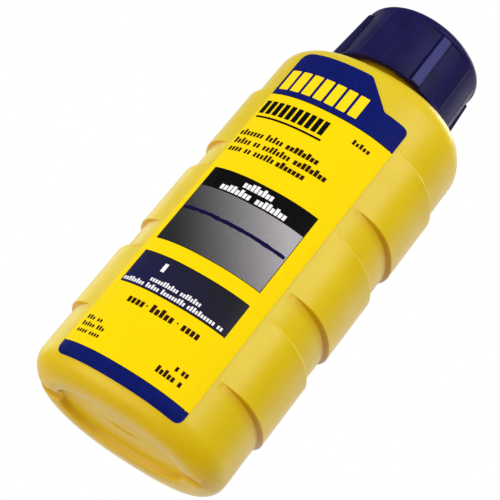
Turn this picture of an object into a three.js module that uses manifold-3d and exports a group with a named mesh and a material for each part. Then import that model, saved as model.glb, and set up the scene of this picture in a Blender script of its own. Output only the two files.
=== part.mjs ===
// Squeeze bottle of powdered marking chalk with a ribbed screw cap.
// Millimetres, +Z up, front label faces -Y, origin at the middle of the base.

import * as THREE from 'three';
import { mergeVertices } from 'three/addons/utils/BufferGeometryUtils.js';
import Module from 'manifold-3d';

const wasm = await Module();
wasm.setup();
const { Manifold, Mesh: SolidMesh } = wasm;

// ---------------------------------------------------------------- dimensions

// Oval body
const HALF_WIDTH = 26.4;
const HALF_DEPTH = 21.5;
const OVAL_POWER = 2.3;
const WALL = 1.1;
const BODY_COLUMNS = 72;

// Base: a standing rim round a pushed-up panel
const BASE_EDGE_HEIGHT = 5.5;
const BASE_EDGE_IN_X = 6.0;
const BASE_EDGE_IN_Y = 8.5;
const BASE_PANEL_RISE = 1.7;
const BASE_PANEL = [16.8, 8.6];
const BASE_RIM_INNER = [18.4, 10.8];
const BASE_FLOOR_Z = 3.3;
const NOTCH_RISE = 1.4;
const NOTCH_HALF = 2.6;

// Grip pads round both sides
const PAD_COUNT = 3;
const PAD_FIRST_Z = 17.6;
const PAD_PITCH = 27.0;
const PAD_LENGTH = 19.3;
const PAD_RAMP = 1.7;
const PAD_HEIGHT = 1.2;
const PAD_START_X = 17.7;
const PAD_FULL_X = 25.0;

// Shoulder and neck
const SHOULDER_Z = 109.0;
const SHOULDER_HEIGHT = 6.8;
const SHOULDER_IN_X = 6.8;
const SHOULDER_IN_Y = 6.3;
const NECK_RADIUS = 14.6;
const NECK_BORE = 12.5;
const NECK_TOP_Z = 127.7;

// Screw thread shared by neck and cap
const THREAD_PITCH = 3.2;
const THREAD_TURNS = 1.25;
const THREAD_Z = 119.4;
const THREAD_HALF_ROOT = 0.75;
const THREAD_HALF_CREST = 0.4;
const NECK_THREAD_CREST = 15.7;
const CAP_THREAD_CREST = 14.95;
const THREAD_STEPS = 56;

// Cap
const CAP_BOTTOM_Z = 111.0;
const CAP_TOP_Z = 130.8;
const CAP_RADIUS = 17.5;
const CAP_DRAFT = 0.6;
const CAP_EDGE = 2.0;
const CAP_BORE = 16.1;
const CAP_CEILING_Z = 129.3;
const CAP_LIP_HEIGHT = 0.9;
const CAP_LIP_PROUD = 0.15;
const RIB_COUNT = 4;
const RIB_FIRST_DEG = -58;
const RIB_HALF_DEG = 4.5;
const RIB_PROUD_LOW = 1.1;
const RIB_PROUD_HIGH = 0.5;
const RIB_TOP_Z = 128.0;
const FACE_END_DEG = 33.5;
const FACE_DEPTH = 0.6;

// Liner
const LINER_RADIUS = 15.4;
const LINER_BOTTOM_Z = 128.0;
const LINER_TOP_Z = 129.0;

// Chalk
const CHALK_GAP = 0.3;
const CHALK_EDGE_Z = 87.0;
const CHALK_MOUND = 3.5;

// Labels
const LABEL_GAP = 0.3;
const LABEL_THICKNESS = 0.2;
const LABEL_HALF = 17.4;
const LABEL_BOTTOM_Z = 3.4;
const LABEL_STEP_Z = 96.4;
const LABEL_TOP_Z = 103.6;
const BACK_LABEL_BOTTOM_Z = 10.0;
const BACK_LABEL_TOP_Z = 98.0;

// -------------------------------------------------------------- small helpers

function rad(degrees) {
  return degrees * Math.PI / 180;
}

function smoothStep(value) {
  const t = Math.min(1, Math.max(0, value));
  return t * t * (3 - 2 * t);
}

// A lathe whose rings are then placed by a function of (column, row).
function ringSolid(columns, rows, place) {
  const profile = Array.from({ length: rows }, (_, row) => new THREE.Vector2(1, row));
  const geometry = new THREE.LatheGeometry(profile, columns);
  const position = geometry.attributes.position;
  for (let column = 0; column <= columns; column++) {
    for (let row = 0; row < rows; row++) {
      const [x, y, z] = place(column % columns, row);
      position.setXYZ(column * rows + row, x, y, z);
    }
  }
  return weld(geometry);
}

function weld(geometry) {
  geometry.deleteAttribute('normal');
  geometry.deleteAttribute('uv');
  const welded = mergeVertices(geometry, 1e-4);
  const index = welded.index.array;
  const kept = [];
  for (let i = 0; i < index.length; i += 3) {
    const [a, b, c] = [index[i], index[i + 1], index[i + 2]];
    if (a !== b && b !== c && c !== a) {
      kept.push(a, b, c);
    }
  }
  welded.setIndex(kept);
  return welded;
}

function toSolid(geometry) {
  const welded = weld(geometry);
  return new Manifold(new SolidMesh({
    numProp: 3,
    vertProperties: new Float32Array(welded.attributes.position.array),
    triVerts: new Uint32Array(welded.index.array),
  }));
}

function toGeometry(solid) {
  const mesh = solid.getMesh();
  const geometry = new THREE.BufferGeometry();
  geometry.setAttribute('position', new THREE.BufferAttribute(mesh.vertProperties, 3));
  geometry.setIndex(new THREE.BufferAttribute(mesh.triVerts, 1));
  return geometry;
}

// Point of an oval ring at an angle.
function ovalPoint(angle, halfX, halfY, power) {
  const c = Math.cos(angle);
  const s = Math.sin(angle);
  const x = Math.abs(c) < 1e-9 ? 0 : halfX * Math.sign(c) * Math.abs(c) ** (2 / power);
  const y = Math.abs(s) < 1e-9 ? 0 : halfY * Math.sign(s) * Math.abs(s) ** (2 / power);
  return [x, y];
}

// Outward direction of that oval at a point.
function ovalNormal(x, y, halfX, halfY, power) {
  const nx = Math.sign(x) * Math.abs(x / halfX) ** (power - 1) / halfX;
  const ny = Math.sign(y) * Math.abs(y / halfY) ** (power - 1) / halfY;
  const length = Math.hypot(nx, ny);
  return [nx / length, ny / length];
}

// Depth of the front or back panel at a distance from the middle.
function panelDepth(x) {
  return HALF_DEPTH * (1 - Math.abs(x / HALF_WIDTH) ** OVAL_POWER) ** (1 / OVAL_POWER);
}

function ring(halfX, halfY, z, power = OVAL_POWER) {
  return { halfX, halfY, z, power };
}

function pole(z) {
  return ring(0, 0, z);
}

// Rings of a quarter-round edge between a flat end and the wall.
function edgeRings(halfX, halfY, endZ, height, inX, inY, steps) {
  return Array.from({ length: steps + 1 }, (_, step) => {
    const angle = step / steps * Math.PI / 2;
    const z = endZ + height * (1 - Math.cos(angle));
    const share = 1 - Math.sin(angle);
    return ring(halfX - inX * share, halfY - inY * share, z);
  });
}

function ringPoint(item, angle) {
  const [x, y] = ovalPoint(angle, item.halfX, item.halfY, item.power);
  return [x, y, item.z];
}

// --------------------------------------------------------------------- bottle

// How far a grip pad stands out: it grows round the side, and each end of it
// has one steady slope.
function padHeight(x, z) {
  const side = PAD_HEIGHT * smoothStep((Math.abs(x) - PAD_START_X) / (PAD_FULL_X - PAD_START_X));
  for (let pad = 0; pad < PAD_COUNT; pad++) {
    const low = PAD_FIRST_Z + pad * PAD_PITCH;
    const inside = Math.min(z - low, low + PAD_LENGTH - z);
    if (inside > 0) {
      return Math.min(side, PAD_HEIGHT * inside / PAD_RAMP);
    }
  }
  return 0;
}

function padHeights() {
  const offsets = [0, PAD_RAMP / 2, PAD_RAMP, PAD_LENGTH - PAD_RAMP, PAD_LENGTH - PAD_RAMP / 2, PAD_LENGTH];
  const heights = [];
  for (let pad = 0; pad < PAD_COUNT; pad++) {
    for (const offset of offsets) {
      heights.push(PAD_FIRST_Z + pad * PAD_PITCH + offset);
    }
  }
  return heights;
}

// Shallow gap through the standing rim at each end of the mould's parting line.
function notchRise(x, y, z) {
  const across = 1 - (y / NOTCH_HALF) ** 2;
  if (across <= 0 || Math.abs(x) < BASE_RIM_INNER[0] - 1) {
    return z;
  }
  return Math.max(z, NOTCH_RISE * across);
}

function outerRings() {
  return [
    pole(BASE_PANEL_RISE),
    ring(BASE_PANEL[0], BASE_PANEL[1], BASE_PANEL_RISE),
    ring(BASE_RIM_INNER[0], BASE_RIM_INNER[1], 0),
    ...edgeRings(HALF_WIDTH, HALF_DEPTH, 0, BASE_EDGE_HEIGHT, BASE_EDGE_IN_X, BASE_EDGE_IN_Y, 5),
    ...padHeights().map((z) => ring(HALF_WIDTH, HALF_DEPTH, z)),
    ...edgeRings(HALF_WIDTH, HALF_DEPTH, SHOULDER_Z, -SHOULDER_HEIGHT, SHOULDER_IN_X, SHOULDER_IN_Y, 5).reverse(),
    ring(NECK_RADIUS + 0.5, NECK_RADIUS + 0.5, SHOULDER_Z + 0.3, 2),
    ring(NECK_RADIUS, NECK_RADIUS, SHOULDER_Z + 0.9, 2),
    ring(NECK_RADIUS, NECK_RADIUS, NECK_TOP_Z - 0.5, 2),
    ring(NECK_RADIUS - 0.5, NECK_RADIUS - 0.5, NECK_TOP_Z, 2),
  ];
}

// The hollow, kept `gap` clear of the wall, up to the shoulder's edge.
function hollowRings(gap) {
  const inset = WALL + gap;
  const halfX = HALF_WIDTH - inset;
  const halfY = HALF_DEPTH - inset;
  const edge = edgeRings(halfX, halfY, BASE_FLOOR_Z + gap, 4.4, 5.2, 7.2, 4);
  return [pole(BASE_FLOOR_Z + gap), ...edge];
}

function innerRings() {
  const halfX = HALF_WIDTH - WALL;
  const halfY = HALF_DEPTH - WALL;
  const ceiling = SHOULDER_Z - 1.3;
  return [
    ring(NECK_BORE, NECK_BORE, NECK_TOP_Z, 2),
    ring(NECK_BORE, NECK_BORE, ceiling + 0.5, 2),
    ...edgeRings(halfX, halfY, ceiling, -5.8, 6.4, 6.2, 4),
    ...hollowRings(0).reverse(),
  ];
}

function threadRidge(rootRadius, crestRadius, startZ) {
  const steps = THREAD_STEPS;
  const section = [
    [rootRadius, -THREAD_HALF_ROOT],
    [crestRadius, -THREAD_HALF_CREST],
    [crestRadius, THREAD_HALF_CREST],
    [rootRadius, THREAD_HALF_ROOT],
    [rootRadius, -THREAD_HALF_ROOT],
  ];
  if (crestRadius < rootRadius) {
    section.reverse();
  }
  const profile = section.map(([radius, z]) => new THREE.Vector2(radius, z));
  const geometry = new THREE.LatheGeometry(profile, steps);
  const position = geometry.attributes.position;
  for (let step = 0; step <= steps; step++) {
    const turn = step / steps * THREAD_TURNS;
    const angle = turn * 2 * Math.PI;
    const runOut = smoothStep(Math.min(step, steps - step) / 6);
    for (let corner = 0; corner < section.length; corner++) {
      const radius = rootRadius + (section[corner][0] - rootRadius) * runOut;
      const z = startZ + turn * THREAD_PITCH + section[corner][1] * runOut;
      const index = step * section.length + corner;
      position.setXYZ(index, radius * Math.cos(angle), radius * Math.sin(angle), z);
    }
  }
  return toSolid(geometry);
}

function bottleGeometry() {
  const rings = [...outerRings(), ...innerRings()];
  const outerCount = outerRings().length;
  const rimCount = 9;
  const shell = ringSolid(BODY_COLUMNS, rings.length, (column, row) => {
    const item = rings[row];
    const angle = column / BODY_COLUMNS * 2 * Math.PI;
    let [x, y, z] = ringPoint(item, angle);
    const height = row < outerCount ? padHeight(x, z) : 0;
    if (height > 0) {
      const [nx, ny] = ovalNormal(x, y, item.halfX, item.halfY, item.power);
      x += nx * height;
      y += ny * height;
    }
    if (row < rimCount) {
      z = notchRise(x, y, z);
    }
    return [x, y, z];
  });
  const ridge = threadRidge(NECK_RADIUS - 0.4, NECK_THREAD_CREST, THREAD_Z);
  return toGeometry(toSolid(shell).add(ridge));
}

// ------------------------------------------------------------------------ cap

// Angles round the cap: close steps at each rib's flanks, even steps between.
function capAngles() {
  const quadrant = [-4.8, -RIB_HALF_DEG, 0, RIB_HALF_DEG, 4.8, 12, 19, 26, FACE_END_DEG, 39, 45, 51, 56.5, 64, 71, 78];
  const angles = [];
  for (let rib = 0; rib < RIB_COUNT; rib++) {
    for (const offset of quadrant) {
      angles.push(RIB_FIRST_DEG + rib * 360 / RIB_COUNT + offset);
    }
  }
  return angles;
}

// Angle from the nearest rib's middle.
function fromRib(degrees) {
  const pitch = 360 / RIB_COUNT;
  const offset = ((degrees - RIB_FIRST_DEG) % pitch + pitch) % pitch;
  return Math.min(offset, pitch - offset);
}

// Radius of the grip: it sinks a little towards each rib, from a crease on
// each side.
function gripRadius(degrees, radius) {
  const offset = Math.max(fromRib(degrees), RIB_HALF_DEG);
  const share = (FACE_END_DEG - offset) / (FACE_END_DEG - RIB_HALF_DEG);
  return radius - FACE_DEPTH * Math.max(0, share);
}

// The ribs stand proudest at the skirt and sink towards the top of the cap.
function ribProud(z) {
  const share = (z - CAP_BOTTOM_Z) / (RIB_TOP_Z - CAP_BOTTOM_Z);
  return RIB_PROUD_LOW + (RIB_PROUD_HIGH - RIB_PROUD_LOW) * share;
}

function capRows() {
  const slope = CAP_DRAFT / (CAP_TOP_Z - CAP_BOTTOM_Z);
  const wall = (z) => CAP_RADIUS - slope * (z - CAP_BOTTOM_Z);
  const rows = [{ radius: CAP_BORE, z: CAP_BOTTOM_Z, kind: 'round' }];
  rows.push({ radius: wall(CAP_BOTTOM_Z), z: CAP_BOTTOM_Z, kind: 'lip' });
  rows.push({ radius: wall(CAP_BOTTOM_Z + CAP_LIP_HEIGHT), z: CAP_BOTTOM_Z + CAP_LIP_HEIGHT, kind: 'lip' });
  rows.push({ radius: wall(CAP_BOTTOM_Z + 1.2), z: CAP_BOTTOM_Z + 1.2, kind: 'grip' });
  rows.push({ radius: wall(RIB_TOP_Z), z: RIB_TOP_Z, kind: 'grip' });
  rows.push({ radius: wall(RIB_TOP_Z + 0.3), z: RIB_TOP_Z + 0.3, kind: 'face' });
  const edgeZ = CAP_TOP_Z - CAP_EDGE;
  for (let step = 0; step <= 4; step++) {
    const angle = step / 4 * Math.PI / 2;
    const radius = wall(edgeZ) - CAP_EDGE * (1 - Math.cos(angle));
    rows.push({ radius, z: edgeZ + CAP_EDGE * Math.sin(angle), kind: 'round' });
  }
  rows.push({ radius: 0, z: CAP_TOP_Z, kind: 'round' });
  rows.push({ radius: 0, z: CAP_CEILING_Z, kind: 'round' });
  rows.push({ radius: CAP_BORE, z: CAP_CEILING_Z, kind: 'round' });
  rows.push({ radius: CAP_BORE, z: CAP_BOTTOM_Z, kind: 'round' });
  return rows;
}

function capRadius(row, degrees) {
  if (row.kind === 'round') {
    return row.radius;
  }
  const onRib = fromRib(degrees) <= RIB_HALF_DEG + 0.01;
  if (onRib && row.kind !== 'face') {
    return row.radius + ribProud(row.z);
  }
  return row.kind === 'lip' ? row.radius + CAP_LIP_PROUD : gripRadius(degrees, row.radius);
}

function capGeometry() {
  const angles = capAngles();
  const rows = capRows();
  const shell = ringSolid(angles.length, rows.length, (column, index) => {
    const radius = capRadius(rows[index], angles[column]);
    const angle = rad(angles[column]);
    return [radius * Math.cos(angle), radius * Math.sin(angle), rows[index].z];
  });
  const ridge = threadRidge(CAP_BORE + 0.4, CAP_THREAD_CREST, THREAD_Z - THREAD_PITCH / 2);
  return toGeometry(toSolid(shell).add(ridge));
}

// ---------------------------------------------------------- liner and contents

function linerGeometry() {
  const profile = [
    new THREE.Vector2(0, LINER_BOTTOM_Z),
    new THREE.Vector2(LINER_RADIUS - 0.15, LINER_BOTTOM_Z),
    new THREE.Vector2(LINER_RADIUS, LINER_BOTTOM_Z + 0.15),
    new THREE.Vector2(LINER_RADIUS, LINER_TOP_Z - 0.15),
    new THREE.Vector2(LINER_RADIUS - 0.15, LINER_TOP_Z),
    new THREE.Vector2(0, LINER_TOP_Z),
  ];
  const geometry = new THREE.LatheGeometry(profile, 64);
  geometry.rotateX(Math.PI / 2);
  return geometry;
}

function chalkGeometry() {
  const walls = hollowRings(CHALK_GAP);
  const halfX = HALF_WIDTH - WALL - CHALK_GAP;
  const halfY = HALF_DEPTH - WALL - CHALK_GAP;
  const heap = [1, 0.8, 0.55, 0.3].map((share) => {
    const z = CHALK_EDGE_Z + CHALK_MOUND * (1 - share * share);
    return ring(halfX * share, halfY * share, z);
  });
  const rings = [...walls, ...heap, pole(CHALK_EDGE_Z + CHALK_MOUND)];
  return ringSolid(BODY_COLUMNS, rings.length, (column, row) => {
    return ringPoint(rings[row], column / BODY_COLUMNS * 2 * Math.PI);
  });
}

// --------------------------------------------------------------------- labels

// A thin slab that follows the front panel, from `near` to `far` off its face.
function panelSlab(halfWidth, bottomZ, topZ, near, far) {
  const steps = 28;
  const shape = new THREE.Shape();
  for (let step = 0; step <= steps; step++) {
    const x = -halfWidth + 2 * halfWidth * step / steps;
    const y = -(panelDepth(x) + far);
    if (step === 0) {
      shape.moveTo(x, y);
    } else {
      shape.lineTo(x, y);
    }
  }
  for (let step = steps; step >= 0; step--) {
    const x = -halfWidth + 2 * halfWidth * step / steps;
    shape.lineTo(x, -(panelDepth(x) + near));
  }
  const geometry = new THREE.ExtrudeGeometry(shape, { depth: topZ - bottomZ, bevelEnabled: false });
  geometry.translate(0, 0, bottomZ);
  return toSolid(geometry);
}

// A die-cut outline drawn in X and Z, made into a block that crosses the panel.
function outlineBlock(shape) {
  const geometry = new THREE.ExtrudeGeometry(shape, { depth: 40, bevelEnabled: false, curveSegments: 6 });
  geometry.rotateX(Math.PI / 2);
  return toSolid(geometry);
}

function frontOutline() {
  const half = LABEL_HALF;
  const shape = new THREE.Shape();
  shape.moveTo(-half + 2.2, LABEL_BOTTOM_Z);
  shape.lineTo(half - 2.2, LABEL_BOTTOM_Z);
  shape.quadraticCurveTo(half, LABEL_BOTTOM_Z, half, LABEL_BOTTOM_Z + 2.2);
  shape.lineTo(half, LABEL_STEP_Z - 1.8);
  shape.quadraticCurveTo(half, LABEL_STEP_Z, half - 1.8, LABEL_STEP_Z);
  shape.lineTo(10.4, LABEL_STEP_Z);
  shape.lineTo(3.0, LABEL_TOP_Z - 0.6);
  shape.quadraticCurveTo(2.4, LABEL_TOP_Z, 1.5, LABEL_TOP_Z);
  shape.lineTo(-half + 3.0, LABEL_TOP_Z);
  shape.quadraticCurveTo(-half, LABEL_TOP_Z, -half, LABEL_TOP_Z - 3.0);
  shape.lineTo(-half, LABEL_BOTTOM_Z + 2.2);
  shape.quadraticCurveTo(-half, LABEL_BOTTOM_Z, -half + 2.2, LABEL_BOTTOM_Z);
  return shape;
}

function backOutline() {
  const half = LABEL_HALF;
  const low = BACK_LABEL_BOTTOM_Z;
  const high = BACK_LABEL_TOP_Z;
  const corner = 2.2;
  const shape = new THREE.Shape();
  shape.moveTo(-half + corner, low);
  shape.lineTo(half - corner, low);
  shape.quadraticCurveTo(half, low, half, low + corner);
  shape.lineTo(half, high - corner);
  shape.quadraticCurveTo(half, high, half - corner, high);
  shape.lineTo(-half + corner, high);
  shape.quadraticCurveTo(-half, high, -half, high - corner);
  shape.lineTo(-half, low + corner);
  shape.quadraticCurveTo(-half, low, -half + corner, low);
  return shape;
}

function labelGeometry(outline, bottomZ, topZ) {
  const slab = panelSlab(LABEL_HALF + 0.1, bottomZ - 1, topZ + 1, LABEL_GAP, LABEL_GAP + LABEL_THICKNESS);
  return toGeometry(slab.intersect(outlineBlock(outline)));
}

// ------------------------------------------------------------------- assembly

const group = new THREE.Group();
group.name = 'chalk_bottle';

function addPiece(name, geometry, color, roughness) {
  const material = new THREE.MeshStandardMaterial({ color, roughness, metalness: 0 });
  const mesh = new THREE.Mesh(geometry, material);
  mesh.name = name;
  group.add(mesh);
  return mesh;
}

addPiece('bottle', bottleGeometry(), 0xe3c01c, 0.4);
addPiece('cap', capGeometry(), 0x221f57, 0.35);
addPiece('cap_liner', linerGeometry(), 0xf2f0ea, 0.8);
addPiece('chalk_fill', chalkGeometry(), 0x2546b8, 0.95);
addPiece('front_label', labelGeometry(frontOutline(), LABEL_BOTTOM_Z, LABEL_TOP_Z), 0xffdf00, 0.35);
const backLabel = labelGeometry(backOutline(), BACK_LABEL_BOTTOM_Z, BACK_LABEL_TOP_Z);
backLabel.rotateZ(Math.PI);
addPiece('back_label', backLabel, 0xffdf00, 0.35);

export default group;
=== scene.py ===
# Squeeze bottle of marking chalk with a ribbed screw cap and printed labels.
# Metres, +Z up, front label faces -Y, origin at the middle of the base.

import math

import bmesh
import bpy
from mathutils import Matrix, Vector, noise


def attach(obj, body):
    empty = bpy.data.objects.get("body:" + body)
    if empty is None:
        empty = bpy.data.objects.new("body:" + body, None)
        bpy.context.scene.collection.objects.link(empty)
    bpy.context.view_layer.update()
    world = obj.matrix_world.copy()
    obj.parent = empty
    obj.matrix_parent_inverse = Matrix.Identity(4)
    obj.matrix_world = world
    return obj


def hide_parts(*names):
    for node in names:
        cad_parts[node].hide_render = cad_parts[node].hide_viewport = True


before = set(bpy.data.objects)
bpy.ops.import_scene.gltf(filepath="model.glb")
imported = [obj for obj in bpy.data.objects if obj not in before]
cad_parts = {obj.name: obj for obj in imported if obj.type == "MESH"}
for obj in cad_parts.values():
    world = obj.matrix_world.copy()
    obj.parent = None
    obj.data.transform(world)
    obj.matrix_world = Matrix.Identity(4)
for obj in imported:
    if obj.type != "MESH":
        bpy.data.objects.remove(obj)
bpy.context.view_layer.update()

MM = 0.001

# ---------------------------------------------------------- sizes, millimetres

# Oval body
HALF_WIDTH, HALF_DEPTH, OVAL_POWER, WALL = 26.4, 21.5, 2.3, 1.1
BODY_COLUMNS = 288
COLUMN_CROWDING = 0.33   # draws columns in towards the parting line

# Base
BASE_EDGE_HEIGHT, BASE_EDGE_IN_X, BASE_EDGE_IN_Y = 5.5, 6.0, 8.5
BASE_PANEL_RISE = 1.7
BASE_PANEL = (16.8, 8.6)
BASE_RIM_INNER = (18.4, 10.8)
BASE_FLOOR_Z = 3.3
NOTCH_RISE, NOTCH_RISE_RIGHT = 1.6, 0.6
NOTCH_HALF, NOTCH_FROM_X, NOTCH_WALL = 2.2, 17.4, 1.0
PINCH_HEIGHT, PINCH_HALF, PINCH_END_X, PINCH_FADE = 0.3, 0.35, 3.5, 3.0
PARTING_PROUD, PARTING_HALF, PARTING_FROM_X = 0.07, 0.22, 20.0
PANEL_STEPS, RIM_STEPS, EDGE_STEPS = 11, 8, 12
RELIEF_STEPS = 6                       # rings of the edge that the relief reaches
BASE_ROWS = 1 + PANEL_STEPS + RIM_STEPS + RELIEF_STEPS

# Grip pads
PAD_COUNT, PAD_FIRST_Z, PAD_PITCH, PAD_LENGTH = 3, 17.6, 27.0, 19.3
PAD_LOW_SLOPE, PAD_TOP_SLOPE = 1.9, 1.2
PAD_HEIGHT, PAD_START_X, PAD_FULL_X = 1.1, 17.7, 25.0
PAD_EDGE_SOFT = 0.3                       # rounding of the pads' edges
PAD_LIP_PROUD, PAD_LIP_HALF = 0.1, 0.28   # fine lip along a pad's upper edge
RAMP_STEPS, RAMP_REACH = 14, 1.4          # close rings at both ends of a pad

# Painted shade: where the yellow is darkened to amber
LEDGE_SHADE, RECESS_SHADE = 0.8, 0.55       # under a pad, on the base recess wall
LEDGE_REACH, LEDGE_RISE = 0.12, 0.3
NECK_FOOT_RADIUS, NECK_FOOT_FADE = 20.0, 3.5

# Shoulder and neck
SHOULDER_Z, SHOULDER_HEIGHT = 109.0, 6.8
SHOULDER_IN_X, SHOULDER_IN_Y = 6.8, 6.3
NECK_RADIUS, NECK_BORE, NECK_TOP_Z = 14.6, 12.5, 127.7
NECK_FILLET, NECK_LIP = 0.6, 0.5
INNER_SHOULDER = (-5.8, 6.4, 6.2)   # height, then how far in on x and y
INNER_FLOOR = (4.4, 5.2, 7.2)

# Screw thread
THREAD_PITCH, THREAD_TURNS, THREAD_Z = 3.2, 1.25, 119.4
THREAD_HALF_ROOT, THREAD_HALF_CREST = 0.75, 0.4
THREAD_STEPS, THREAD_RUN_OUT = 180, 9
NECK_THREAD_CREST, CAP_THREAD_CREST = 15.7, 14.95

# Cap
CAP_BOTTOM_Z, CAP_TOP_Z, CAP_RADIUS, CAP_DRAFT = 111.0, 130.8, 17.5, 0.6
CAP_EDGE, CAP_BORE, CAP_CEILING_Z = 2.0, 16.1, 129.3
CAP_LIP_HEIGHT, CAP_LIP_PROUD = 0.9, 0.15
CAP_COLUMNS = 720
RIB_COUNT, RIB_FIRST_DEG, RIB_HALF_DEG = 4, -58, 4.2
RIB_PROUD_LOW, RIB_PROUD_HIGH, RIB_TOP_Z = 1.05, 0.45, 128.0
FACE_END_DEG, FACE_DEPTH, FLANK_DEG = 33.5, 0.6, 1.6
BEAD_PROUD, BEAD_DEG = 0.08, 0.45

# Liner and chalk
CHALK_GAP, CHALK_EDGE_Z, CHALK_MOUND = 0.35, 86.6, 2.6
CHALK_LUMPS = ((0.45, 0.16), (0.3, 0.55), (0.14, 1.6))   # height, waves per mm
HEAP_STEPS = 40
LINER_RADIUS, LINER_BOTTOM_Z, LINER_TOP_Z = 15.35, 128.02, 128.98
LINER_EDGE, LINER_GROOVE = 0.15, 0.08

# Labels
LABEL_HALF = 17.4
LABEL_BOTTOM_Z, LABEL_HEADER_Z, LABEL_STEP_Z, LABEL_TOP_Z = 3.4, 88.8, 96.4, 103.6
BACK_BOTTOM_Z, BACK_TOP_Z = 10.0, 98.0
FILM_LIFT, FILM_THICK = 0.06, 0.12
INK_LIFT, INK_THICK = 0.17, 0.03
TOP_INK_LIFT = 0.19
TRAP_LIFT, TRAP_THICK = 0.165, 0.022
TRAP_WIDTH = 0.16   # dark overprint that shows as a thin line round each block
INK_INSET, TRAP_INSET = 0.04, 0.05
FOOT_TOP_Z = 6.95
PICTURE_X, PICTURE_Z, BAND_Z = (-15.6, 13.5), (39.6, 57.0), (57.0, 62.9)
PANEL_X, PANEL_Z = (-15.8, 13.7), (25.9, 35.4)
FADE_X = (-15.5, 13.5)

# ------------------------------------------------------------- mesh finishing


def smooth_share(value):
    t = min(1.0, max(0.0, value))
    return t * t * (3 - 2 * t)


def mark_creases(bm, degrees):
    limit = math.radians(degrees)
    for face in bm.faces:
        face.smooth = True
    for edge in bm.edges:
        if len(edge.link_faces) == 2 and edge.calc_face_angle(0) > limit:
            edge.smooth = False


def place_piece(name, bm, material, body, crease=32, replaces=()):
    """Turn a mesh in millimetres into a finished piece on its body."""
    bmesh.ops.scale(bm, vec=(MM, MM, MM), verts=bm.verts)
    bmesh.ops.recalc_face_normals(bm, faces=bm.faces)
    mark_creases(bm, crease)
    mesh = bpy.data.meshes.new(name)
    bm.to_mesh(mesh)
    bm.free()
    mesh.materials.append(material)
    piece = bpy.data.objects.new(name, mesh)
    bpy.context.scene.collection.objects.link(piece)
    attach(piece, body)
    if replaces:
        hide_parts(*replaces)
    return piece


def spun_rows(row_count, columns, place, poles=()):
    """Spin an upright row of points, then place each by its angle and row."""
    bm = bmesh.new()
    chain = [bm.verts.new((0.0 if row in poles else 1.0, 0.0, row))
             for row in range(row_count)]
    edges = [bm.edges.new(pair) for pair in zip(chain, chain[1:])]
    bmesh.ops.spin(bm, geom=chain + edges, axis=(0, 0, 1), cent=(0, 0, 0),
                   angle=2 * math.pi, steps=columns, use_merge=True)
    bmesh.ops.remove_doubles(bm, verts=bm.verts, dist=1e-5)
    for vert in bm.verts:
        angle = math.atan2(vert.co.y, vert.co.x)
        vert.co = place(angle, round(vert.co.z))
    bmesh.ops.remove_doubles(bm, verts=bm.verts, dist=1e-4)
    return bm


# ------------------------------------------------------------------ oval rings


def oval_point(angle, half_x, half_y, power):
    c, s = math.cos(angle), math.sin(angle)
    x = math.copysign(abs(c) ** (2 / power), c) * half_x if abs(c) > 1e-7 else 0.0
    y = math.copysign(abs(s) ** (2 / power), s) * half_y if abs(s) > 1e-7 else 0.0
    return x, y


def oval_normal(x, y, half_x, half_y, power):
    nx = math.copysign(abs(x / half_x) ** (power - 1), x) / half_x
    ny = math.copysign(abs(y / half_y) ** (power - 1), y) / half_y
    length = math.hypot(nx, ny)
    return nx / length, ny / length


def crowded(angle):
    return angle - COLUMN_CROWDING * math.sin(2 * angle)


def edge_rings(half_x, half_y, end_z, height, in_x, in_y, steps):
    rings = []
    for step in range(steps + 1):
        turn = step / steps * math.pi / 2
        share = 1 - math.sin(turn)
        rings.append((half_x - in_x * share, half_y - in_y * share,
                      end_z + height * (1 - math.cos(turn)), OVAL_POWER))
    return rings


def body_halves(z):
    """Half width and half depth of the plain body at a height."""
    if z < BASE_EDGE_HEIGHT:
        turn = math.acos(max(0.0, 1 - z / BASE_EDGE_HEIGHT))
        share = 1 - math.sin(turn)
        return HALF_WIDTH - BASE_EDGE_IN_X * share, HALF_DEPTH - BASE_EDGE_IN_Y * share
    top = SHOULDER_Z - SHOULDER_HEIGHT
    if z > top:
        turn = math.acos(max(0.0, 1 - (SHOULDER_Z - z) / SHOULDER_HEIGHT))
        share = 1 - math.sin(turn)
        return HALF_WIDTH - SHOULDER_IN_X * share, HALF_DEPTH - SHOULDER_IN_Y * share
    return HALF_WIDTH, HALF_DEPTH


def panel_depth(x, z):
    half_x, half_y = body_halves(z)
    return half_y * (1 - abs(x / half_x) ** OVAL_POWER) ** (1 / OVAL_POWER)


# ---------------------------------------------------------------------- bottle


def soft_least(first, second, soft):
    """The smaller of two values, rounded where they cross."""
    blend = max(0.0, soft - abs(first - second)) / soft
    return min(first, second) - blend * blend * soft / 4


def pad_height(x, z):
    """A pad stands out round the side, with a steady slope at each end."""
    side = PAD_HEIGHT * smooth_share((abs(x) - PAD_START_X) / (PAD_FULL_X - PAD_START_X))
    for pad in range(PAD_COUNT):
        low = PAD_FIRST_Z + pad * PAD_PITCH
        ramp = min((z - low) * PAD_LOW_SLOPE, (low + PAD_LENGTH - z) * PAD_TOP_SLOPE)
        if ramp > 0:
            soft = min(PAD_EDGE_SOFT, 0.05 + 0.6 * side)
            lip = PAD_LIP_PROUD * smooth_share(side / 0.1)
            lip *= 1 - 0.6 * smooth_share(side / PAD_HEIGHT)
            edge = low + PAD_LENGTH - side / PAD_TOP_SLOPE - PAD_LIP_HALF
            lip *= math.exp(-((z - edge) / PAD_LIP_HALF) ** 2)
            return max(0.0, soft_least(side, ramp, soft)) + lip
    return 0.0


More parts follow.
